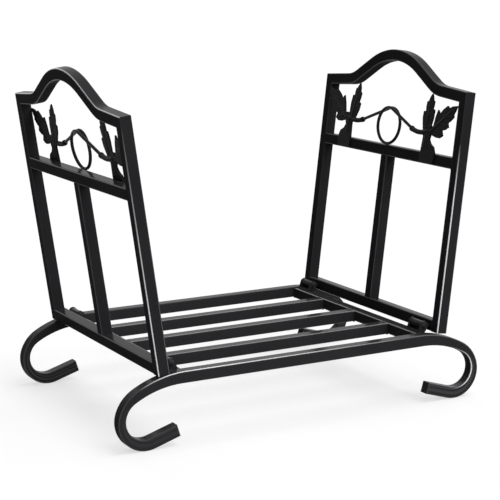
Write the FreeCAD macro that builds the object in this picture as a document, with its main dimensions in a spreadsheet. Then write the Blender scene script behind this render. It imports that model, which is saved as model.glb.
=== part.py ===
import FreeCAD, Part
import Sketcher
import math
import os

# Folding log holder: a base with four scroll feet and two hinged side panels
# Frame: X along the length, Y from front (-) to rear (+), Z up, floor at zero

V = FreeCAD.Vector
doc = FreeCAD.newDocument("LogHolder")

# Driving sizes in millimetres and degrees
sizes = [
    ("tubeWidth", 14.4, "outer width of the square tube"),
    ("tubeCorner", 1.5, "outer corner radius of the tube"),
    ("panelWidth", 331.4, "outer faces of the uprights"),
    ("railProud", 2.6, "rails' outer faces beyond the uprights"),
    ("crossSpan", 321.6, "clear span between the cross bars"),
    ("bendInset", 1.3, "feet start to bend inside the cross bars"),
    ("sweepRadius", 128.7, "first easy bend of the foot, outer side"),
    ("sweepTurn", 29.8, "turn of the first bend"),
    ("crookRadius", 45.1, "second bend, outer side"),
    ("crookTurn", 40.0, "turn of the second bend"),
    ("heelRadius", 34.7, "third bend under the foot, outer side"),
    ("heelTurn", 127.2, "turn of the third bend"),
    ("innerSweep", 117.4, "first bend, inner side"),
    ("innerCrook", 24.3, "second bend, inner side"),
    ("innerHeel", 22.7, "third bend, inner side"),
    ("innerLag", 12.8, "extra turn of the inner second bend, crushed tube"),
    ("tipLength", 33.5, "straight end of the foot"),
    ("railShift", 2.8, "front rail set to the left and rear rail to the right"),
    ("deckDrop", 1.6, "cross bars and slats below the rails' tops"),
    ("slatShare", 0.2612, "spacing of the slats, share of the clear depth"),
    ("panelGap", 7.26, "cross bar's outer face to the panel's inner face"),
    ("panelLean", 7.57, "outward lean of a panel"),
    ("stopGap", 0.3, "upright's inner edge above the rail"),
    ("midTop", 217.7, "top of the middle rail along the panel"),
    ("shoulderTop", 299.3, "outer corner of the arch along the panel"),
    ("crownTop", 341.8, "top of the arch along the panel"),
    ("crownRadius", 121.0, "crown bend, top side"),
    ("valleyRadius", 49.3, "shoulder bend, top side"),
    ("archSlope", 28.5, "steepest slope of the arch"),
    ("shoulderSlope", 4.2, "slope of the shoulders"),
    ("hingeInset", 1.2, "hinge axis inside the cross bar's outer face"),
    ("hingeLift", 6.8, "hinge axis above the rails' tops"),
    ("hingeEnd", 17.4, "hinge middle from the rail's inner face"),
    ("earRadius", 5.4, "round top of a bracket ear"),
    ("sheetThick", 2.4, "bracket sheet"),
    ("bracketFoot", 9.8, "bracket foot along X"),
    ("knuckleRadius", 4.75, "outside of the rolled knuckle"),
    ("knuckleLength", 22.0, "knuckle along the axis"),
    ("knucklePlay", 0.3, "side clearance of the knuckle"),
    ("tongueThick", 4.0, "plate from the knuckle to the panel"),
    ("pinRadius", 2.5, "hinge pin"),
    ("pinPlay", 0.05, "radial running clearance on the pin"),
    ("headRadius", 4.3, "pin head"),
    ("headHeight", 2.6, "pin head dome"),
    ("wireRadius", 2.0, "vine wire"),
    ("loopRadius", 23.3, "loop of the vine, wire centre"),
    ("loopPitch", 4.8, "depth offset of the loop's two strands"),
    ("loopDrop", 0.0, "lowest point of the loop below the middle rail's top"),
    ("stemInset", 73.7, "leaf stem inside the panel's edge"),
    ("leafUnit", 10.0, "drawing unit of the castings"),
    ("socketRun", 30.5, "end of the wire from the leaf stem"),
    ("socketLift", 27.5, "end of the wire above the middle rail"),
    ("leafTilt", 1.5, "lean of the castings against the panel"),
    ("vineShift", 1.5, "castings off the middle, to the front at the right and to the rear at the left"),
    ("loopShift", 5.0, "loop of the vine further off the middle than the castings"),
    ("leftDrop", 2.5, "left castings lower than the right ones"),
    ("bladeSway", -15.5, "tip of the inner blade beside its stem"),
    ("bentSway", 2.0, "the same on the right front leaf, which is bent outwards"),
    ("leafThick", 2.4, "edge thickness of a leaf"),
    ("stemExtra", 0.8, "stem thicker than the blades"),
    ("weldBite", 0.2, "castings let into the middle rail by their welds"),
    ("ribRadius", 2.5, "leaf midrib at its root"),
    ("notchShare", 0.66, "notch beside a tooth, share of the half width"),
]
sheet = doc.addObject("Spreadsheet::Sheet", "Sizes")
for row, (alias, value, note) in enumerate(sizes, 1):
    sheet.set(f"A{row}", note)
    sheet.set(f"B{row}", str(value))
    sheet.setAlias(f"B{row}", alias)
doc.recompute()


def size(alias):
    return float(sheet.get(alias))


def heading(turn):
    # Outward normal of a bend after a turn from straight up, X and Z
    angle = math.radians(turn)
    return V(math.sin(angle), math.cos(angle), 0)


# Bodies, sketches and features

def newBody(label, placement):
    body = doc.addObject("PartDesign::Body", label)
    body.Label = label
    body.Placement = placement
    return body


def planeOf(body, role):
    return next(item for item in body.Origin.OriginFeatures if item.Role == role)


def newSketch(body, role):
    sketch = body.newObject("Sketcher::SketchObject", body.Label + "_sketch")
    sketch.AttachmentSupport = (planeOf(body, role), [""])
    sketch.MapMode = "FlatFace"
    return sketch


def bind(sketch, constraint, expression):
    index = sketch.addConstraint(constraint)
    sketch.setExpression(f"Constraints[{index}]", expression)


def line(start, end):
    return Part.LineSegment(start, end)


def arc(centre, radius, first, last):
    # Counter-clockwise arc between two angles in degrees
    circle = Part.Circle(centre, V(0, 0, 1), radius)
    return Part.ArcOfCircle(circle, math.radians(first), math.radians(last))


def addLoop(sketch, pieces):
    # Closed outline of lines and arcs; each arc comes with the name of its radius
    first = sketch.GeometryCount
    for curve, radius in pieces:
        sketch.addGeometry(curve, False)
    count = len(pieces)
    for step in range(count):
        here = pieces[step][0]
        there = pieces[(step + 1) % count][0]
        ends = [(a, b) for a in (1, 2) for b in (1, 2)]
        pointsHere = (None, here.StartPoint, here.EndPoint)
        pointsThere = (None, there.StartPoint, there.EndPoint)
        a, b = min(ends, key=lambda pair: pointsHere[pair[0]].distanceToPoint(pointsThere[pair[1]]))
        sketch.addConstraint(Sketcher.Constraint(
            "Coincident", first + step, a, first + (step + 1) % count, b))
    for step, (curve, radius) in enumerate(pieces):
        if radius:
            bind(sketch, Sketcher.Constraint("Radius", first + step, curve.Radius), radius)


def addSquare(sketch, wide, tall, wideName, tallName):
    # Rectangle about the sketch origin
    corners = [V(-wide / 2, -tall / 2, 0), V(wide / 2, -tall / 2, 0),
               V(wide / 2, tall / 2, 0), V(-wide / 2, tall / 2, 0)]
    addLoop(sketch, [(line(corners[i], corners[(i + 1) % 4]), None) for i in range(4)])
    for side, kind in enumerate(("Horizontal", "Vertical", "Horizontal", "Vertical")):
        sketch.addConstraint(Sketcher.Constraint(kind, side))
    sketch.addConstraint(Sketcher.Constraint("Symmetric", 0, 1, 1, 2, -1, 1))
    bind(sketch, Sketcher.Constraint("DistanceX", 0, 1, 0, 2, wide), wideName)
    bind(sketch, Sketcher.Constraint("DistanceY", 1, 1, 1, 2, tall), tallName)


def addPad(body, sketch, length):
    pad = body.newObject("PartDesign::Pad", body.Label + "_pad")
    pad.Profile = sketch
    pad.SideType = "Symmetric"
    pad.setExpression("Length", length)
    doc.recompute()
    return pad


def roundEdges(body, base, chosen, radius):
    names = [f"Edge{i}" for i, edge in enumerate(base.Shape.Edges, 1) if chosen(edge)]
    fillet = body.newObject("PartDesign::Fillet", body.Label + "_round")
    fillet.Base = (base, names)
    fillet.setExpression("Radius", radius)
    body.Tip = fillet
    doc.recompute()
    return fillet


def along(direction):
    # Straight edges along one direction of the body's own axes
    def chosen(edge):
        step = edge.Vertexes[-1].Point - edge.Vertexes[0].Point
        return step.Length > 1e-6 and abs(step.normalize().dot(direction)) > 0.999
    return chosen


def onFaces(axis, half):
    # Edges lying in the two faces at plus and minus a half thickness
    def chosen(edge):
        box = edge.BoundBox
        low, high = (box.YMin, box.YMax) if axis == "Y" else (box.XMin, box.XMax)
        return high - low < 1e-4 and abs(abs(low) - half) < 1e-4
    return chosen


# Sizes that follow from the driving ones

tube = size("tubeWidth")
lean = math.radians(size("panelLean"))
baseDepth = size("panelWidth") + 2 * size("railProud")
clearDepth = baseDepth - 2 * tube
barFace = size("crossSpan") / 2 + tube
bendStart = size("crossSpan") / 2 - size("bendInset")
panelReach = barFace + size("panelGap") + tube / 2 * math.cos(lean)
hingeReach = barFace - size("hingeInset")
hingeCentre = clearDepth / 2 - size("hingeEnd")
sectionPlane = {"X": "YZ_Plane", "Y": "XZ_Plane", "Z": "XY_Plane"}
unit = {"X": V(1, 0, 0), "Y": V(0, 1, 0), "Z": V(0, 0, 1)}


def straightTube(label, axis, length, placement):
    body = newBody(label, placement)
    sketch = newSketch(body, sectionPlane[axis])
    addSquare(sketch, tube, tube, "Sizes.tubeWidth", "Sizes.tubeWidth")
    pad = addPad(body, sketch, length)
    roundEdges(body, pad, along(unit[axis]), "Sizes.tubeCorner")
    return body


# Rails with scroll feet

turns = [0, size("sweepTurn")]
turns.append(turns[1] + size("crookTurn"))
turns.append(turns[2] + size("heelTurn"))
innerTurns = [0, turns[1], turns[2] + size("innerLag"), turns[3]]
outerNames = ("sweepRadius", "crookRadius", "heelRadius")
innerNames = ("innerSweep", "innerCrook", "innerHeel")


def bendCentres(start, names, steps):
    # Centres of three bends that run into each other
    centre = start - V(0, size(names[0]), 0)
    centres = [centre]
    for i in (1, 2):
        centre = centre + heading(steps[i]) * (size(names[i - 1]) - size(names[i]))
        centres.append(centre)
    return centres


tipNormal = heading(turns[3])
outerCentres = bendCentres(V(bendStart, 0, 0), outerNames, turns)
outerFace = outerCentres[2].dot(tipNormal) + size("heelRadius")
innerTrial = bendCentres(V(0, -tube, 0), innerNames, innerTurns)
innerFace = innerTrial[2].dot(tipNormal) + size("innerHeel")
innerStart = (outerFace - tube - innerFace) / tipNormal.x
innerCentres = [centre + V(innerStart, 0, 0) for centre in innerTrial]
railTop = size("heelRadius") - outerCentres[2].y


def bendArcs(centres, names, steps):
    arcs = []
    for i in range(3):
        curve = arc(centres[i], size(names[i]), 90 - steps[i + 1], 90 - steps[i])
        arcs.append((curve, "Sizes." + names[i]))
    return arcs


outerArcs = bendArcs(outerCentres, outerNames, turns)
innerArcs = bendArcs(innerCentres, innerNames, innerTurns)
outerEnd = outerCentres[2] + tipNormal * size("heelRadius")
innerEnd = innerCentres[2] + tipNormal * size("innerHeel")
tipRun = V(tipNormal.y, -tipNormal.x, 0)
tipOuter = outerEnd + tipRun * size("tipLength")
tipInner = tipOuter - tipNormal * tube

railOutline = [(line(V(0, 0, 0), V(bendStart, 0, 0)), None)]
railOutline += outerArcs
railOutline += [(line(outerEnd, tipOuter), None), (line(tipOuter, tipInner), None)]
railOutline += [(line(tipInner, innerEnd), None)]
railOutline += innerArcs[::-1]
railOutline += [(line(V(innerStart, -tube, 0), V(0, -tube, 0)), None)]
railOutline += [(line(V(0, -tube, 0), V(0, 0, 0)), None)]


def rail(label, side):
    offset = side * (baseDepth - tube) / 2
    spot = V(side * size("railShift"), offset, railTop)
    body = newBody(label, FreeCAD.Placement(spot, FreeCAD.Rotation()))
    sketch = newSketch(body, "XZ_Plane")
    addLoop(sketch, railOutline)
    pad = addPad(body, sketch, "Sizes.tubeWidth")
    mirrored = body.newObject("PartDesign::Mirrored", label + "_mirror")
    mirrored.Originals = [pad]
    mirrored.MirrorPlane = (planeOf(body, "YZ_Plane"), [""])
    body.Tip = mirrored
    doc.recompute()
    roundEdges(body, mirrored, onFaces("Y", tube / 2), "Sizes.tubeCorner")
    return body


# Side panels, drawn upright about their own foot and then leaned outwards

panelHalf = size("panelWidth") / 2
stopReach = barFace + size("panelGap") - bendStart - abs(size("railShift"))
stopDip = size("sweepRadius") - math.sqrt(size("sweepRadius") ** 2 - max(stopReach, 0) ** 2)
panelLift = railTop - stopDip + size("stopGap") - tube / 2 * math.sin(lean)


def panelPlace(side, local=V(0, 0, 0), tilt=0):
    # Place a piece of a panel from its spot in the upright panel
    turn = FreeCAD.Rotation(V(0, 1, 0), side * size("panelLean"))
    foot = V(side * panelReach, 0, panelLift)
    extra = FreeCAD.Rotation(V(0, 1, 0), side * tilt)
    return FreeCAD.Placement(foot + turn.multVec(local), turn * extra)


mitre = (90 - size("shoulderSlope")) / 2
slope = math.radians(size("archSlope"))
ease = math.radians(size("shoulderSlope"))


def archSide(drop):
    # One side of the arch from the corner to the crown, a depth below the top side
    valley = size("valleyRadius") + drop
    crown = size("crownRadius") - drop
    inset = drop * math.tan(math.radians(mitre))
    corner = V(panelHalf - drop, size("shoulderTop") - inset, 0)
    crownCentre = V(0, size("crownTop") - size("crownRadius"), 0)
    crownEnd = crownCentre + V(math.sin(slope), math.cos(slope), 0) * crown
    topCorner = V(panelHalf, size("shoulderTop"), 0)
    topEnd = crownCentre + V(math.sin(slope), math.cos(slope), 0) * size("crownRadius")
    # Valley centre: its bend leaves the shoulder line and meets the sloping line
    shoulderNormal = V(math.sin(ease), math.cos(ease), 0)
    slopeNormal = V(math.sin(slope), math.cos(slope), 0)
    shoulderFace = topCorner.dot(shoulderNormal) + size("valleyRadius")
    slopeFace = topEnd.dot(slopeNormal) + size("valleyRadius")
    area = shoulderNormal.x * slopeNormal.y - shoulderNormal.y * slopeNormal.x
    centre = V((shoulderFace * slopeNormal.y - slopeFace * shoulderNormal.y) / area,
               (slopeFace * shoulderNormal.x - shoulderFace * slopeNormal.x) / area, 0)
    valleyStart = centre - shoulderNormal * valley
    valleyEnd = centre - slopeNormal * valley
    bend = arc(centre, valley, 270 - size("archSlope"), 270 - size("shoulderSlope"))
    top = arc(crownCentre, crown, 90 - size("archSlope"), 90)
    return [
        (line(corner, valleyStart), None),
        (bend, f"Sizes.valleyRadius + {drop}"),
        (line(valleyEnd, crownEnd), None),
        (top, f"Sizes.crownRadius - {drop}"),
    ]


upperSide = archSide(0)
lowerSide = archSide(tube)
archOutline = upperSide
archOutline += [(line(V(0, size("crownTop"), 0), V(0, size("crownTop") - tube, 0)), None)]
archOutline += lowerSide[::-1]
archOutline += [(line(lowerSide[0][0].StartPoint, upperSide[0][0].StartPoint), None)]


def archBar(label, side):
    body = newBody(label, panelPlace(side))
    sketch = newSketch(body, "YZ_Plane")
    addLoop(sketch, archOutline)
    pad = addPad(body, sketch, "Sizes.tubeWidth")
    mirrored = body.newObject("PartDesign::Mirrored", label + "_mirror")
    mirrored.Originals = [pad]
    mirrored.MirrorPlane = (planeOf(body, "XZ_Plane"), [""])
    body.Tip = mirrored
    doc.recompute()

    def long(edge):
        atMitre = min(abs(v.Point.y) for v in edge.Vertexes) > panelHalf - tube - 0.01
        return onFaces("X", tube / 2)(edge) and not atMitre

    roundEdges(body, mirrored, long, "Sizes.tubeCorner")
    return body


def upright(label, side, edge):
    # Square foot and a mitred top that meets the arch
    body = newBody(label, panelPlace(side))
    sketch = newSketch(body, "YZ_Plane")
    outer = edge * panelHalf
    inner = edge * (panelHalf - tube)
    innerTop = lowerSide[0][0].StartPoint.y
    corners = [V(outer, 0, 0), V(outer, size("shoulderTop"), 0), V(inner, innerTop, 0), V(inner, 0, 0)]
    addLoop(sketch, [(line(corners[i], corners[(i + 1) % 4]), None) for i in range(4)])
    for index, kind in ((0, "Vertical"), (2, "Vertical"), (3, "Horizontal")):
        sketch.addConstraint(Sketcher.Constraint(kind, index))
    bind(sketch, Sketcher.Constraint("Distance", 3, tube), "Sizes.tubeWidth")
    bind(sketch, Sketcher.Constraint("Distance", 0, size("shoulderTop")), "Sizes.shoulderTop")
    pad = addPad(body, sketch, "Sizes.tubeWidth")
    roundEdges(body, pad, along(V(0, 0, 1)), "Sizes.tubeCorner")
    return body


# Hinges

hingeTall = railTop + size("hingeLift")
deckTop = railTop - size("deckDrop")


def hingeBracket(label, side, place):
    # Two ears with round tops on a foot plate, drawn about the hinge axis
    body = newBody(label, FreeCAD.Placement(V(side * hingeReach, place, hingeTall), FreeCAD.Rotation()))
    low = deckTop - hingeTall
    reach = size("hingeInset")
    near = V(side * reach, low, 0)
    far = V(side * (reach - size("bracketFoot")), low, 0)
    radius = size("earRadius")

    def touch(point, hand):
        # Where a line from a point meets the ear's round top
        away = math.atan2(point.y, point.x)
        half = math.acos(radius / point.Length)
        angle = away + hand * half
        return V(radius * math.cos(angle), radius * math.sin(angle), 0), angle

    nearTouch, nearAngle = touch(near, side)
    farTouch, farAngle = touch(far, -side)
    first, last = (nearAngle, farAngle) if side > 0 else (farAngle, nearAngle)
    top = arc(V(0, 0, 0), radius, math.degrees(first), math.degrees(last))
    sketch = newSketch(body, "XZ_Plane")
    addLoop(sketch, [(line(far, near), None), (line(near, nearTouch), None),
                     (top, "Sizes.earRadius"), (line(farTouch, far), None)])
    hole = sketch.addGeometry(Part.Circle(V(0, 0, 0), V(0, 0, 1), size("pinRadius")), False)
    bind(sketch, Sketcher.Constraint("Radius", hole, size("pinRadius")),
         "Sizes.pinRadius + Sizes.pinPlay")
    sketch.addConstraint(Sketcher.Constraint("Coincident", hole, 3, -1, 1))
    pad = addPad(body, sketch, "Sizes.knuckleLength + 2 * Sizes.knucklePlay + 2 * Sizes.sheetThick")
    cut = newSketch(body, "XZ_Plane")
    floor = low + size("sheetThick")
    wide = 4 * size("bracketFoot")
    corners = [V(-wide, floor, 0), V(wide, floor, 0), V(wide, wide, 0), V(-wide, wide, 0)]
    addLoop(cut, [(line(corners[i], corners[(i + 1) % 4]), None) for i in range(4)])
    pocket = body.newObject("PartDesign::Pocket", label + "_slot")
    pocket.Profile = cut
    pocket.SideType = "Symmetric"
    pocket.setExpression("Length", "Sizes.knuckleLength + 2 * Sizes.knucklePlay")
    body.Tip = pocket
    doc.recompute()
    return body


def hingePin(label, side, place):
    # Shank between two domed heads, turned about the hinge axis
    body = newBody(label, FreeCAD.Placement(V(side * hingeReach, place, hingeTall), FreeCAD.Rotation()))
    half = size("knuckleLength") / 2 + size("knucklePlay") + size("sheetThick")
    shank = size("pinRadius")
    head = size("headRadius")
    rise = size("headHeight")
    dome = (head ** 2 + rise ** 2) / (2 * rise)
    spread = math.degrees(math.asin(head / dome))
    sketch = newSketch(body, "XY_Plane")
    upper = arc(V(0, half + rise - dome, 0), dome, 90 - spread, 90)
    lower = arc(V(0, dome - half - rise, 0), dome, 270, 270 + spread)
    addLoop(sketch, [
        (line(V(0, -half - rise, 0), V(0, half + rise, 0)), None),
        (upper, None),
        (line(V(head, half, 0), V(shank, half, 0)), None),
        (line(V(shank, half, 0), V(shank, -half, 0)), None),
        (line(V(shank, -half, 0), V(head, -half, 0)), None),
        (lower, None),
    ])
    for index, kind in ((0, "Vertical"), (2, "Horizontal"), (3, "Vertical"), (4, "Horizontal")):
        sketch.addConstraint(Sketcher.Constraint(kind, index))
    bind(sketch, Sketcher.Constraint("DistanceX", -1, 1, 3, 1, shank), "Sizes.pinRadius")
    bind(sketch, Sketcher.Constraint("DistanceX", -1, 1, 2, 1, head), "Sizes.headRadius")
    turned = body.newObject("PartDesign::Revolution", label + "_turned")
    turned.Profile = sketch
    turned.ReferenceAxis = (sketch, ["V_Axis"])
    turned.Angle = 360
    body.Tip = turned
    doc.recompute()
    return body


turnBack = FreeCAD.Rotation(V(0, 1, 0), -size("panelLean"))
hingeLocal = turnBack.multVec(V(hingeReach - panelReach, 0, hingeTall - panelLift))


def hingeKnuckle(label, side, place):
    # Rolled eye and a tongue to the inner face of the bottom rail
    body = newBody(label, panelPlace(side, V(0, place, 0)))
    eye = V(side * hingeLocal.x, hingeLocal.z, 0)
    half = size("tongueThick") / 2
    radius = size("knuckleRadius")
    bite = math.degrees(math.asin(half / radius))
    start = radius * math.cos(math.radians(bite))
    face = -side * tube / 2
    sketch = newSketch(body, "XZ_Plane")
    first, last = (bite, 360 - bite) if side > 0 else (180 + bite, 540 - bite)
    rolled = arc(eye, radius, first, last)
    upper = V(eye.x + side * start, eye.y + half, 0)
    lower = V(eye.x + side * start, eye.y - half, 0)
    upperEnd = V(face, eye.y + half, 0)
    lowerEnd = V(face, eye.y - half, 0)
    addLoop(sketch, [(rolled, "Sizes.knuckleRadius"), (line(lower, lowerEnd), None),
                     (line(lowerEnd, upperEnd), None), (line(upperEnd, upper), None)])
    hole = sketch.addGeometry(Part.Circle(eye, V(0, 0, 1), size("pinRadius")), False)
    sketch.addConstraint(Sketcher.Constraint("Coincident", hole, 3, 0, 3))
    bind(sketch, Sketcher.Constraint("Radius", hole, size("pinRadius")),
         "Sizes.pinRadius + Sizes.pinPlay")
    addPad(body, sketch, "Sizes.knuckleLength")
    return body


# Leaf and vine castings, drawn upright in a plane of their own with the middle rail's top at zero

stemReach = panelHalf - size("stemInset")
socketY = stemReach - size("socketRun")
socketZ = size("socketLift")
loopZ = size("loopRadius") + size("wireRadius") - size("loopDrop")
midTop = size("midTop")
leafThick = size("leafThick")
wireInset = size("wireRadius") + size("loopPitch") / 12 - (leafThick + size("stemExtra")) / 2


def armRise(side, edge):
    # Slope of the straight wire from a leaf's collar to the loop
    run = socketY + side * edge * size("loopShift")
    rise = loopZ - socketZ
    return math.atan2(rise, run) + math.asin(size("loopRadius") / math.hypot(run, rise))


def archUnder(y):
    # Height of the arch's underside above the middle rail
    for curve, radius in lowerSide:
        low, high = sorted((curve.StartPoint.x, curve.EndPoint.x))
        if low <= y <= high:
            crossing = curve.intersect(Part.LineSegment(V(y, 0, 0), V(y, size("crownTop"), 0)))
            return crossing[0].Y - midTop
    return lowerSide[0][0].StartPoint.y - midTop


def castingDrop(side):
    # The left castings sit a little lower
    return size("leftDrop") if side < 0 else 0


def ornamentPlace(side):
    # The castings lap the inner face of the middle rail and lean into the panel
    lapped = (tube + leafThick + size("stemExtra") - size("weldBite")) / 2
    leaned = castingDrop(side) * math.tan(math.radians(size("leafTilt")))
    middle = V(-side * (lapped + leaned), -side * size("vineShift"), midTop - castingDrop(side))
    return panelPlace(side, middle, size("leafTilt"))


def slab(points, thick):
    # Flat piece between two faces, its outline in the middle
    wire = Part.makePolygon(points + points[:1])
    return Part.Face(wire).extrude(V(thick, 0, 0)).translated(V(-thick / 2, 0, 0))


def blade(edge, root, tip, swell, fullness, sides):
    # Toothed leaf blade with a midrib and a vein to each tooth, its two sides of different fullness
    run = tip - root
    across = V(0, -run.z, run.y).normalize() * edge

    def spot(t, offset):
        return root + run * t + across * offset

    edges = []
    veins = []
    for hand, (start, rate, first, teeth) in zip((1, -1), sides):

        def half(t):
            grown = max(0.04, min(1, start + rate * t))
            return hand * swell * grown * (1 - t ** fullness) ** 0.9

        points = [spot(t, half(t)) for t in (0, first * 0.35, first * 0.7)]
        gap = (1 - first) / teeth
        for k in range(teeth):
            peak = first + k * gap
            reach = half(peak)
            middle = peak + 0.55 * gap
            points += [spot(peak + 0.03, reach * 1.1), spot(peak + 0.05, reach * size("notchShare")),
                       spot(middle, half(middle) * 0.9)]
            rootOfVein = spot(peak - 0.2, 0)
            vein = spot(peak, reach * 0.95) - rootOfVein
            veins.append(Part.makeCone(leafThick * 0.7, leafThick * 0.54, vein.Length, rootOfVein, vein))
        edges.append(points)
    outline = edges[0] + [spot(1, 0)] + edges[1][::-1]
    rib = Part.makeCone(size("ribRadius"), leafThick * 0.54, run.Length * 0.94, root, run)
    return slab(outline, leafThick).fuse(veins + [rib])


def leaf(label, side, edge):
    # Two blades, a stem with a flared foot and a curved arm with a collar for the wire
    step = size("leafUnit")

    def spot(across, up):
        return V(0, edge * (stemReach + across * step), up * step)

    isBent = side > 0 and edge < 0
    sway = size("bentSway") if isBent else size("bladeSway")
    innerTip = stemReach + sway
    ceiling = archUnder(innerTip - side * edge * size("vineShift")) + castingDrop(side)
    innerEnd = V(0, edge * innerTip, min(7.5 * step, ceiling + size("weldBite") * 3))
    wall = edge * (panelHalf - tube + size("weldBite") * 2) + side * size("vineShift")
    inner = blade(edge, spot(-0.3 + sway / step * 0.1, 2.45), innerEnd, 1.2 * step, 3,
                  ((0.45, 1.7, 0.48, 2), (0.45, 1.7, 0.586, 2)))
    outer = blade(edge, spot(0.8, 2.65), V(0, wall, 6.35 * step), 1.8 * step, 2,
                  ((-0.25, 3.4, 0.386, 2), (0.25, 4.2, 0.3, 3)))
    footLow = castingDrop(side) + 0.15 * step - tube
    flare = [spot(-0.6, 2.6), spot(-0.6, 1.7), spot(-0.75, 0),
             V(0, edge * (stemReach - 0.8 * step), footLow),
             V(0, edge * (stemReach + 2.1 * step), footLow), spot(2.3, -0.5), spot(2.3, 0.1),
             spot(1.9, 0.85), spot(1.2, 1.2), spot(0.8, 1.7), spot(0.95, 2.3),
             spot(0.9, 3.4), spot(-0.3, 3.4)]
    stem = slab(flare, leafThick + size("stemExtra"))
    radius = size("wireRadius") * 1.6
    ridge = spot(0.2, 2.8) - spot(0.1, 0.6)
    back = Part.makeCone(radius * 1.1, radius, ridge.Length, spot(0.1, 0.6), ridge)
    # The arm leaves the wire straight on and bends up into the stem
    socket = V(edge * size("loopPitch") / 2 - side * wireInset, edge * socketY, socketZ)
    rise = armRise(side, edge)
    run = V(0, edge * math.cos(rise), -math.sin(rise))
    core = spot(0.2, 2.65)
    chord = core - socket
    aside = chord - run * chord.dot(run)
    centre = socket + aside * (chord.Length ** 2 / (2 * aside.Length ** 2))
    halfway = (socket + core) * 0.5 - centre
    bend = Part.Arc(socket, centre + halfway.normalize() * (socket - centre).Length, core)
    ring = Part.Circle(socket, run, radius)
    arm = Part.Wire(bend.toShape()).makePipeShell([Part.Wire(ring.toShape())], True, False)
    collar = Part.makeCylinder(radius * 1.15, 0.35 * step, socket, run)
    feature = doc.addObject("Part::Feature", label)
    feature.Label = label
    feature.Shape = stem.fuse([inner, outer, back, arm, collar]).removeSplitter()
    feature.Placement = ornamentPlace(side)
    return feature


def vine(label, side):
    # Arm, one round loop and the other arm, the two strands side by side at the top, tacked to the rail
    sweep = math.radians(360) + armRise(side, 1) + armRise(side, -1)
    start = math.pi / 2 + armRise(side, 1)
    middle = -side * size("loopShift")
    count = 18
    points = []
    for i in range(count + 1):
        angle = start - sweep * i / count
        shift = size("loopPitch") / 2 * math.cos(math.pi * i / count) - side * wireInset
        points.append(V(shift, middle - size("loopRadius") * math.cos(angle),
                        loopZ + size("loopRadius") * math.sin(angle)))
    rear = V(size("loopPitch") / 2 - side * wireInset, socketY, socketZ)
    front = V(-size("loopPitch") / 2 - side * wireInset, -socketY, socketZ)
    edges = [Part.LineSegment(rear, points[0]).toShape()]
    for i in range(0, count, 2):
        edges.append(Part.Arc(points[i], points[i + 1], points[i + 2]).toShape())
    edges.append(Part.LineSegment(points[-1], front).toShape())
    radius = size("wireRadius")
    ring = Part.Circle(rear, points[0] - rear, radius)
    wire = Part.Wire(edges).makePipeShell([Part.Wire(ring.toShape())], True, False)
    low = V(-side * wireInset, middle, loopZ - size("loopRadius"))
    tackRun = V(side * radius * 1.1, middle, castingDrop(side) - radius * 0.1) - low
    tack = Part.makeCone(radius * 0.7, radius * 0.45, tackRun.Length, low, tackRun)
    feature = doc.addObject("Part::Feature", label)
    feature.Label = label
    feature.Shape = wire.fuse(tack).removeSplitter()
    feature.Placement = ornamentPlace(side)
    return feature


# Assembly

sideName = {-1: "left", 1: "right"}
edgeName = {-1: "front", 1: "rear"}
pieces = []
straight = FreeCAD.Rotation()

for edge in (-1, 1):
    pieces.append(rail(edgeName[edge] + "_rail", edge))

for side in (-1, 1):
    spot = FreeCAD.Placement(V(side * (barFace - tube / 2), 0, deckTop - tube / 2), straight)
    length = "Sizes.panelWidth + 2 * Sizes.railProud - 2 * Sizes.tubeWidth"
    pieces.append(straightTube(sideName[side] + "_cross_bar", "Y", length, spot))

for name, step in (("front", -1), ("middle", 0), ("rear", 1)):
    spot = FreeCAD.Placement(V(0, step * size("slatShare") * clearDepth, deckTop - tube / 2), straight)
    pieces.append(straightTube(name + "_slat", "X", "Sizes.crossSpan", spot))

for side in (-1, 1):
    panel = sideName[side]
    rung = "Sizes.panelWidth - 2 * Sizes.tubeWidth"
    pieces.append(straightTube(panel + "_bottom_rail", "Y", rung, panelPlace(side, V(0, 0, tube / 2))))
    pieces.append(straightTube(panel + "_mid_rail", "Y", rung,
                               panelPlace(side, V(0, 0, midTop - tube / 2))))
    pieces.append(straightTube(panel + "_centre_bar", "Z", "Sizes.midTop - 2 * Sizes.tubeWidth",
                               panelPlace(side, V(0, 0, midTop / 2))))
    pieces.append(archBar(panel + "_arch_bar", side))
    pieces.append(vine(panel + "_vine_wire", side))
    for edge in (-1, 1):
        corner = panel + "_" + edgeName[edge]
        hingePlace = edge * hingeCentre
        pieces.append(upright(corner + "_upright", side, edge))
        pieces.append(leaf(corner + "_leaf", side, edge))
        pieces.append(hingeBracket(corner + "_hinge_bracket", side, hingePlace))
        pieces.append(hingePin(corner + "_hinge_pin", side, hingePlace))
        pieces.append(hingeKnuckle(corner + "_hinge_knuckle", side, hingePlace))

doc.recompute()

# Check every object before writing

for item in doc.Objects:
    if "Invalid" in item.State or "Error" in item.State:
        raise RuntimeError(item.Label + " did not build")
for piece in pieces:
    if piece.Shape.isNull() or not piece.Shape.isValid() or len(piece.Shape.Solids) != 1:
        raise RuntimeError(piece.Label + " is not one sound solid")

os.makedirs("parts", exist_ok=True)
for piece in pieces:
    piece.Shape.exportStep("parts/" + piece.Label + ".step")
print("pieces", len(pieces))
print("rail top", round(railTop, 2), "panel foot", round(panelLift, 2))
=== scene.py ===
import math
import bpy
import bmesh
from mathutils import Matrix, Vector


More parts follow.
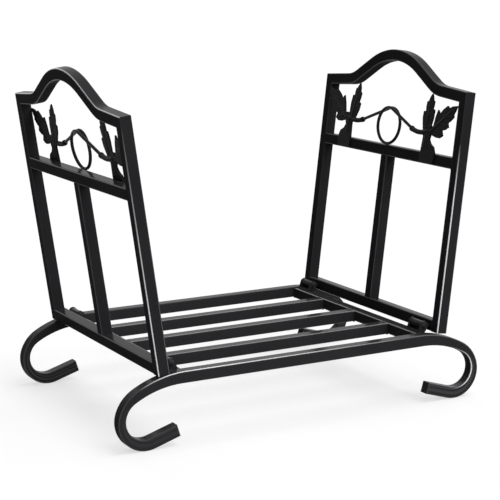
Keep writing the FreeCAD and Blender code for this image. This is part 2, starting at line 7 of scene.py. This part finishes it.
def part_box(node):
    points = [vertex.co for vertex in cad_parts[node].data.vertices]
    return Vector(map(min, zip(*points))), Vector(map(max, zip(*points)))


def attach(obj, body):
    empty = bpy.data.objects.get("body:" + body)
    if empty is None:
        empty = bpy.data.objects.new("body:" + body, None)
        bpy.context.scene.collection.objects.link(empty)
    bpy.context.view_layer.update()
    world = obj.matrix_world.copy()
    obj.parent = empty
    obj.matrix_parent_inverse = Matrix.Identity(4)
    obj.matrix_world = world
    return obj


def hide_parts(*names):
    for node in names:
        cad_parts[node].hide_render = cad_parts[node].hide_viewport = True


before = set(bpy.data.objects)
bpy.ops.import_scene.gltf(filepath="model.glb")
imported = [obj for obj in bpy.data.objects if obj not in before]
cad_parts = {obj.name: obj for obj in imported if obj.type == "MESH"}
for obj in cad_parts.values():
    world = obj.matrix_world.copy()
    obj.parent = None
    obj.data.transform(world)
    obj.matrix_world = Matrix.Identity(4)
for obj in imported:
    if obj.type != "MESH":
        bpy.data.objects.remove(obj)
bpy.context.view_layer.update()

print("frame loaded", len(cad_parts), "nodes")


# a shader socket that can be written in plain maths
class Socket:
    def __init__(self, graph, out):
        self.graph = graph
        self.out = out

    def maths(self, operation, first, second):
        return self.graph.add("ShaderNodeMath", {"operation": operation}, {0: first, 1: second})

    def __add__(self, other):
        return self.maths("ADD", self, other)

    def __radd__(self, other):
        return self.maths("ADD", other, self)

    def __sub__(self, other):
        return self.maths("SUBTRACT", self, other)

    def __rsub__(self, other):
        return self.maths("SUBTRACT", other, self)

    def __mul__(self, other):
        return self.maths("MULTIPLY", self, other)

    def __rmul__(self, other):
        return self.maths("MULTIPLY", other, self)

    def atLeast(self, low):
        return self.maths("MAXIMUM", self, low)

    def atMost(self, high):
        return self.maths("MINIMUM", self, high)


class Graph:
    def __init__(self, tree):
        self.tree = tree
        tree.nodes.clear()

    def add(self, kind, settings=None, inputs=None, output=0):
        node = self.tree.nodes.new(kind)
        for key, value in (settings or {}).items():
            setattr(node, key, value)
        for key, value in (inputs or {}).items():
            if isinstance(value, Socket):
                self.tree.links.new(value.out, node.inputs[key])
            else:
                node.inputs[key].default_value = value
        return Socket(self, node.outputs[output]) if len(node.outputs) else None


def newMaterial(name):
    material = bpy.data.materials.new(name)
    material.use_nodes = True
    return material, Graph(material.node_tree)


def noiseOf(graph, place, scale, detail):
    return graph.add("ShaderNodeTexNoise", {}, {"Vector": place, "Scale": scale, "Detail": detail})


def vectorOf(graph, operation, first, second=(0, 0, 0)):
    return graph.add("ShaderNodeVectorMath", {"operation": operation}, {0: first, 1: second})


def dotOf(graph, first, second):
    return graph.add("ShaderNodeVectorMath", {"operation": "DOT_PRODUCT"},
                     {0: first, 1: second}, output="Value")


def axisOf(graph, vector, axis):
    return graph.add("ShaderNodeSeparateXYZ", {}, {0: vector}, output=axis)


def rangeOf(graph, value, start, end, low=0.0, high=1.0):
    return graph.add("ShaderNodeMapRange", {}, {0: value, 1: start, 2: end, 3: low, 4: high})


def tint(graph, share, first, second):
    return graph.add("ShaderNodeMix", {"data_type": "RGBA"},
                     {"Factor": share, 6: first, 7: second}, output=2)


def fourth(value):
    squared = value * value
    return squared * squared


# a rail's painted corner highlight fades along the rail and is painted again on the inner corner of
# one scroll
def scrollPaintedGlint(graph, look, paintedGlintMask, rim, facing, along, bend):
    fade = rangeOf(graph, along, look["fadeFrom"], look["fadeTo"], 1.0, look["least"])
    turned = rangeOf(graph, along, look["bendFrom"], look["bendTo"])
    inside = fourth(dotOf(graph, facing, bend).atLeast(0.0))
    wide = (rim * look["bendBreadth"]).atMost(1.0)
    return paintedGlintMask * fade + wide * inside * turned * look["bendShare"]


# paler lines painted round the foot and along its straight tip, low down and fuller towards the
# scroll
def paleFootLines(graph, look, shade, place, along, tall, hand):
    local = vectorOf(graph, "SUBTRACT", place, (hand * look["shift"], 0, 0))
    span = vectorOf(graph, "SUBTRACT", vectorOf(graph, "ABSOLUTE", local), look["scroll"])
    flatSpan = vectorOf(graph, "MULTIPLY", span, (1, 0, 1))  # seen from the front
    past = dotOf(graph, flatSpan, look["tip"]).atLeast(0.0)
    straight = graph.add("ShaderNodeVectorMath", {"operation": "SCALE"},
                         {0: look["tip"], "Scale": past})
    around = vectorOf(graph, "SUBTRACT", flatSpan, straight)
    radius = graph.add("ShaderNodeVectorMath", {"operation": "LENGTH"}, {0: around}, output="Value")
    track = graph.add("ShaderNodeCombineXYZ", {}, {0: radius, 1: axisOf(graph, place, 1)})
    lines = noiseOf(graph, track, look["lineScale"], look["lineDetail"])
    drawn = rangeOf(graph, lines, look["lineFaint"], look["lineFull"])
    low = rangeOf(graph, tall, look["lineFrom"], look["lineTo"])
    heavy = rangeOf(graph, along, 0.0, look["bendFrom"], look["lineLeast"], 1.0)
    return tint(graph, drawn * low * heavy, shade, look["line"])


# satin black powder coat: fine orange peel, slow drift of shade and gloss, shine on round corners,
# and a painted near-white highlight on some of them depth is square to the tube's face, the next
# vector points to the corner given the painted highlight, bend into a scroll
def powderCoat(name, look, depth, paintedGlintSide, bend=None):
    material, graph = newMaterial(name)
    place = graph.add("ShaderNodeTexCoord", output="Object")
    facing = graph.add("ShaderNodeTexCoord", output="Normal")
    peel = noiseOf(graph, place, look["peelScale"], look["peelDetail"])
    drift = noiseOf(graph, place, look["driftScale"], look["driftDetail"])
    grain = noiseOf(graph, place, look["grainScale"], look["grainDetail"])
    square = dotOf(graph, facing, depth)
    flat = square * square  # 0 or 1 on the flat sides, between them on a corner
    rim = flat * (1.0 - flat) * 4.0  # 1 in the middle of a corner
    tall = axisOf(graph, place, 2)
    paintedGlintHeight = rangeOf(graph, tall, look["paintedGlintFrom"], look["paintedGlintTo"])
    top = dotOf(graph, facing, paintedGlintSide).atLeast(0.0)
    broad = (rim * look["breadth"]).atMost(1.0)
    paintedGlintMask = broad * top * top * paintedGlintHeight  # the corners given a painted highlight, and more coat
    shade = tint(graph, drift, look["dark"], look["pale"])
    if bend:
        hand = math.copysign(1.0, bend.x)
        along = dotOf(graph, place, (-hand, 0, 0))
        paintedGlintMask = scrollPaintedGlint(graph, look, paintedGlintMask, rim, facing, along, bend)
        shade = paleFootLines(graph, look, shade, place, along, tall, hand)
    level = axisOf(graph, facing, 2).atLeast(0.0)
    lit = fourth(level) * look["sky"]  # the coat flows out smoother on faces that lie level
    # painted highlight: the base colour of these corners turns near white
    paintedGlintShare = paintedGlintMask * look["strong"] * (look["paintedGlintLeast"] + look["paintedGlintDrift"] * drift)
    buffed = paintedGlintMask * look["strong"] * (look["buffLeast"] + look["buffDrift"] * drift)
    rough = look["gloss"] + (drift - 0.5) * look["glossDrift"] + (grain - 0.5) * look["glossGrain"]
    bump = graph.add("ShaderNodeBump", {}, {
        "Strength": look["bump"], "Distance": look["depth"],
        "Height": peel + grain * look["grainShare"]})
    surface = graph.add("ShaderNodeBsdfPrincipled", {}, {
        "Base Color": tint(graph, paintedGlintShare, shade, look["paintedGlintColour"]),
        "Roughness": rough, "Specular IOR Level": look["specular"], "Normal": bump,
        "Coat Weight": look["allOver"] + lit + rim * look["faint"] + buffed,
        "Coat Roughness": look["coatRough"], "Coat IOR": look["coatIor"]})
    graph.add("ShaderNodeOutputMaterial", {}, {"Surface": surface})
    return material


tubeLook = {
    "dark": (0.0145, 0.0145, 0.0158, 1), "pale": (0.0255, 0.0255, 0.0275, 1),
    # near-white colour of the painted highlight on round corners
    "paintedGlintColour": (0.88, 0.88, 0.89, 1),
    "gloss": 0.34, "glossDrift": 0.10, "glossGrain": 0.06, "specular": 0.001,
    "coatRough": 0.16, "coatIor": 1.5,
    "allOver": 0.0, "faint": 0.8, "strong": 0.0, "sky": 0.34,  # shine: all, corners, corners with painted highlight, level
    "paintedGlintFrom": -1.0, "paintedGlintTo": 0.0, "breadth": 1.0,  # heights where the painted highlight starts and is full
    "paintedGlintLeast": 0.55, "paintedGlintDrift": 0.7, "buffLeast": 0.8, "buffDrift": 0.4,
    "peelScale": 520.0, "peelDetail": 2.0, "driftScale": 14.0, "driftDetail": 3.0,
    "grainScale": 2300.0, "grainDetail": 1.0, "grainShare": 0.25,
    "bump": 0.22, "depth": 0.00025,
}
deckLook = dict(
    tubeLook, strong=0.40, sky=0.42,
    dark=(0.0185, 0.0185, 0.02, 1), pale=(0.029, 0.029, 0.031, 1))
railLook = dict(
    deckLook, strong=0.88, paintedGlintFrom=0.072, paintedGlintTo=0.086,  # the painted highlight starts above the feet
    fadeFrom=-0.11314, fadeTo=0.14142, least=0.12,  # the painted highlight fades along the rail
    bendFrom=0.198, bendTo=0.22345, bendShare=2.0, bendBreadth=2.4,  # painted highlight on the inner corner of the scroll
    shift=0.0028, scroll=(0.2108, 0, 0.0347), tip=(-0.9563, 0, 0.2924),  # as the rails are bent
    lineScale=500.0, lineDetail=2.0, lineFaint=0.45, lineFull=0.60,
    lineFrom=0.060, lineTo=0.022, lineLeast=0.4, line=(0.062, 0.062, 0.065, 1))
archLook = dict(tubeLook, strong=0.68)
outerLook = dict(  # painted highlight strongest near the deck
    tubeLook, faint=0.3, paintedGlintFrom=0.37, paintedGlintTo=0.14, strong=1.15, breadth=1.8)
innerLook = dict(outerLook, paintedGlintFrom=0.32, paintedGlintTo=0.25, strong=1.3, breadth=2.8)
castLook = dict(
    tubeLook, dark=(0.006, 0.006, 0.0068, 1), pale=(0.0115, 0.0115, 0.0128, 1),
    gloss=0.40, specular=0.015, faint=0.2, sky=0.15,
    peelScale=330.0, driftScale=30.0, bump=0.4, depth=0.0004)
wireLook = dict(
    castLook, gloss=0.30, specular=0.05, faint=0.0, allOver=0.02, sky=0.05,
    peelScale=600.0, bump=0.15)
hingeLook = dict(tubeLook, gloss=0.32, specular=0.03, peelScale=700.0, bump=0.16, faint=0.25)

lean = math.radians(7.57)  # outward lean of the panels
faces = {
    "left": Vector((math.cos(lean), 0, math.sin(lean))),
    "right": Vector((math.cos(lean), 0, -math.sin(lean))),
}
outward = {
    "left": -faces["left"], "right": faces["right"],
    "front": Vector((0, -1, 0)), "rear": Vector((0, 1, 0)),
}
up = Vector((0, 0, 1))
coats = {
    "deck": powderCoat("deckPowderCoat", deckLook, up, up),
    "cast": powderCoat("castingPowderCoat", castLook, faces["left"], up),
    "wire": powderCoat("wirePowderCoat", wireLook, faces["left"], up),
    "hinge": powderCoat("hingePowderCoat", hingeLook, outward["rear"], up),
}
# the rear gets the same painted corner highlight as the front, after a half turn
for edge in ("front", "rear"):
    hand = Vector((outward[edge].y, 0, 0))
    coats[edge + "_rail"] = powderCoat(
        edge + "RailPowderCoat", railLook, outward["rear"],
        (outward[edge] + up).normalized(), (outward[edge] + hand).normalized())
for side in ("left", "right"):
    coats[side] = powderCoat(side + "BarPowderCoat", tubeLook, faces[side], outward[side])
    coats[side + "_arch_bar"] = powderCoat(
        side + "ArchPowderCoat", archLook, faces[side], (outward[side] + up).normalized())
    for edge in ("front", "rear"):
        corner = (outward[edge] + faces[side] * outward[edge].y).normalized()
        look = outerLook if corner.dot(outward[side]) > 0 else innerLook
        coats[side + "_" + edge + "_upright"] = powderCoat(
            side + edge.title() + "UprightPowderCoat", look, faces[side], corner)


def coatOf(name):
    if name in coats:
        return coats[name]
    if name.endswith("_vine_wire"):
        return coats["wire"]
    if name.endswith("_leaf"):
        return coats["cast"]
    if name.endswith(("_bracket", "_pin", "_knuckle")):
        return coats["hinge"]
    if name.endswith(("_slat", "_cross_bar")):
        return coats["deck"]
    return coats[name.split("_")[0]]


def setCoat(mesh, coat):
    mesh.materials.clear()
    mesh.materials.append(coat)
    for face in mesh.polygons:
        face.material_index = 0


for name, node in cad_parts.items():
    setCoat(node.data, coatOf(name))
print("powder coats set")


def newPiece(name, mesh, coat, body):
    setCoat(mesh, coat)
    for face in mesh.polygons:
        face.use_smooth = True
    item = bpy.data.objects.new(name, mesh)
    bpy.context.scene.collection.objects.link(item)
    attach(item, body)
    return item


# cast leaves: the solid's own shape with the softened edges of a sand casting
leafCast = {
    "merge": 1e-6,  # joins the node's loose triangles
    "grain": 0.00042, "passes": 4, "ease": 0.5,  # voxel size, then rounds of smoothing
}


def castLeaf(name, body, look):
    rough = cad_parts[name].data.copy()
    shape = bmesh.new()
    shape.from_mesh(rough)
    bmesh.ops.remove_doubles(shape, verts=shape.verts, dist=look["merge"])
    shape.to_mesh(rough)
    shape.free()
    trial = bpy.data.objects.new(name + "Trial", rough)
    bpy.context.scene.collection.objects.link(trial)
    remesh = trial.modifiers.new("remesh", "REMESH")
    remesh.mode = "VOXEL"
    remesh.voxel_size = look["grain"]
    bpy.context.view_layer.update()
    ready = trial.evaluated_get(bpy.context.evaluated_depsgraph_get())
    mesh = bpy.data.meshes.new_from_object(ready)
    bpy.data.objects.remove(trial)
    shape = bmesh.new()
    shape.from_mesh(mesh)
    for _ in range(look["passes"]):
        bmesh.ops.smooth_vert(shape, verts=shape.verts, factor=look["ease"],
                              use_axis_x=True, use_axis_y=True, use_axis_z=True)
    bmesh.ops.recalc_face_normals(shape, faces=shape.faces)
    shape.to_mesh(mesh)
    shape.free()
    item = newPiece(name + "_cast", mesh, coats["cast"], body)
    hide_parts(name)
    return len(mesh.polygons)


for side in ("left", "right"):
    for edge in ("front", "rear"):
        count = castLeaf(side + "_" + edge + "_leaf", side + "_panel", leafCast)
        print("leaf cast", side, edge, count, "faces")


# weld beads: overlapping ripples in the corner of a seam
weldLook = {
    "pitch": 0.0012, "half": 0.0015, "short": 0.75, "swell": 0.12, "swellStep": 2.3,
    "segments": 10, "rings": 6,
    "inset": 0.0016, "slatLift": 0.0004, "barLift": 0.0010, "halfTube": 0.0072,
}


def addBead(shape, start, end, look):
    run = end - start
    turn = run.to_track_quat("X", "Z").to_matrix().to_4x4()
    count = max(2, round(run.length / look["pitch"]))
    for step in range(count + 1):
        half = look["half"] * (1.0 + look["swell"] * math.sin(step * look["swellStep"]))
        stretch = Matrix.Diagonal((half * look["short"], half, half, 1.0))
        spot = Matrix.Translation(start + run * (step / count))
        bmesh.ops.create_uvsphere(shape, u_segments=look["segments"], v_segments=look["rings"],
                                  radius=1.0, matrix=spot @ turn @ stretch)


def weldPiece(name, seams, body, look):
    shape = bmesh.new()
    for start, end in seams:
        addBead(shape, Vector(start), Vector(end), look)
    mesh = bpy.data.meshes.new(name)
    shape.to_mesh(mesh)
    shape.free()
    newPiece(name, mesh, coats["wire"], body)


# under the deck: each slat to the cross bars, each cross bar to the rails
def deckSeams(look):
    inset = look["inset"]
    seams = []
    for name in ("front_slat", "middle_slat", "rear_slat"):
        low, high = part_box(name)
        z = low.z + look["slatLift"]
        for x in (low.x, high.x):
            seams.append(((x, low.y + inset, z), (x, high.y - inset, z)))
    for name in ("left_cross_bar", "right_cross_bar"):
        low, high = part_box(name)
        z = low.z + look["barLift"]
        inner = high.x if name.startswith("left") else low.x
        for y in (low.y, high.y):
            seams.append(((low.x + inset, y, z), (high.x - inset, y, z)))
            seams.append(((inner, y, low.z + inset), (inner, y, high.z - inset)))
    return seams


# under the middle rail where it meets the uprights
def railSeams(side, look):
    low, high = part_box(side + "_mid_rail")
    face = faces[side]
    rise = Vector((-face.z, 0.0, face.x))
    middle = (low + high) / 2 - rise * look["halfTube"]
    reach = face * (look["halfTube"] - look["inset"])
    seams = []
    for y in (low.y, high.y):
        spot = Vector((middle.x, y, middle.z))
        seams.append((spot - reach, spot + reach))
    return seams


weldPiece("deck_welds", deckSeams(weldLook), "base", weldLook)
for side in ("left", "right"):
    weldPiece(side + "_panel_welds", railSeams(side, weldLook), side + "_panel", weldLook)
print("weld beads laid")


# camera fitted to the photograph's frame of 500 by 500
camera = {
    "azimuth": -27.88, "elevation": 11.12, "roll": -0.69, "spot": (-0.9231, -1.7630, 0.5734),
    "focal": 1605.3, "frame": 500.0, "sensor": 36.0, "far": 50.0,
}


def addCamera(setup):
    azimuth, elevation, roll = (
        math.radians(setup[key]) for key in ("azimuth", "elevation", "roll"))
    right = Vector((math.cos(azimuth), math.sin(azimuth), 0))
    back = Vector((math.sin(azimuth) * math.cos(elevation),
                   -math.cos(azimuth) * math.cos(elevation), math.sin(elevation)))
    above = back.cross(right)
    across = right * math.cos(roll) + above * math.sin(roll)
    upward = above * math.cos(roll) - right * math.sin(roll)
    data = bpy.data.cameras.new("photoCamera")
    data.sensor_width = setup["sensor"]
    data.lens = setup["sensor"] * setup["focal"] / setup["frame"]
    data.clip_end = setup["far"]
    item = bpy.data.objects.new("photoCamera", data)
    turn = Matrix((across, upward, back)).transposed()
    item.matrix_world = Matrix.Translation(setup["spot"]) @ turn.to_4x4()
    bpy.context.scene.collection.objects.link(item)
    bpy.context.scene.camera = item


addCamera(camera)


# rays that show the white ground itself: seen directly, in gloss or through glass
def directRays(graph):
    seen = graph.add("ShaderNodeLightPath", output="Is Camera Ray")
    glossy = graph.add("ShaderNodeLightPath", output="Is Glossy Ray")
    clear = graph.add("ShaderNodeLightPath", output="Is Transmission Ray")
    return seen + glossy + clear


# white floor that keeps a faint shadow
floorLook = {"size": 24.0, "colour": (0.34, 0.34, 0.34, 1), "glow": (1, 1, 1, 1), "lift": 0.61}


def addFloor(look):
    mesh = bpy.data.meshes.new("floor")
    shape = bmesh.new()
    bmesh.ops.create_grid(shape, x_segments=1, y_segments=1, size=look["size"])
    shape.to_mesh(mesh)
    shape.free()
    item = bpy.data.objects.new("floor", mesh)
    bpy.context.scene.collection.objects.link(item)
    material, graph = newMaterial("whiteFloor")
    base = graph.add("ShaderNodeBsdfDiffuse", {}, {"Color": look["colour"]})
    lift = graph.add("ShaderNodeEmission", {}, {
        "Color": look["glow"], "Strength": directRays(graph) * look["lift"]})
    both = graph.add("ShaderNodeAddShader", {}, {0: base, 1: lift})
    graph.add("ShaderNodeOutputMaterial", {}, {"Surface": both})
    mesh.materials.append(material)


addFloor(floorLook)


# white surround that lights the object softly
surround = {"shade": (1, 1, 1, 1), "light": 0.22}


def addSurround(look):
    world = bpy.data.worlds.new("whiteSurround")
    bpy.context.scene.world = world
    world.use_nodes = True
    graph = Graph(world.node_tree)
    strength = directRays(graph) * (1.0 - look["light"]) + look["light"]
    glow = graph.add("ShaderNodeBackground", {}, {"Color": look["shade"], "Strength": strength})
    graph.add("ShaderNodeOutputWorld", {}, {"Surface": glow})


addSurround(surround)


# broad soft lamps, all aimed at the middle of the floor
lamps = [
    {"name": "topLight", "spot": (0.6, -0.35, 2.0), "spread": 50.0, "power": 2.2},
    {"name": "frontFill", "spot": (0.5, -2.4, 1.0), "spread": 40.0, "power": 1.9},
    {"name": "backFill", "spot": (0.4, 2.4, 1.0), "spread": 40.0, "power": 1.0},
]


def addLamp(lamp):
    data = bpy.data.lights.new(lamp["name"], "SUN")
    data.angle = math.radians(lamp["spread"])
    data.energy = lamp["power"]
    item = bpy.data.objects.new(lamp["name"], data)
    turn = Vector(lamp["spot"]).to_track_quat("Z", "Y").to_matrix()
    item.matrix_world = Matrix.Translation(lamp["spot"]) @ turn.to_4x4()
    item.visible_camera = False
    item.visible_glossy = False  # the gloss shows the plain surround
    bpy.context.scene.collection.objects.link(item)


for lamp in lamps:
    addLamp(lamp)
bpy.context.scene.view_settings.view_transform = "Standard"
print("camera and light set")
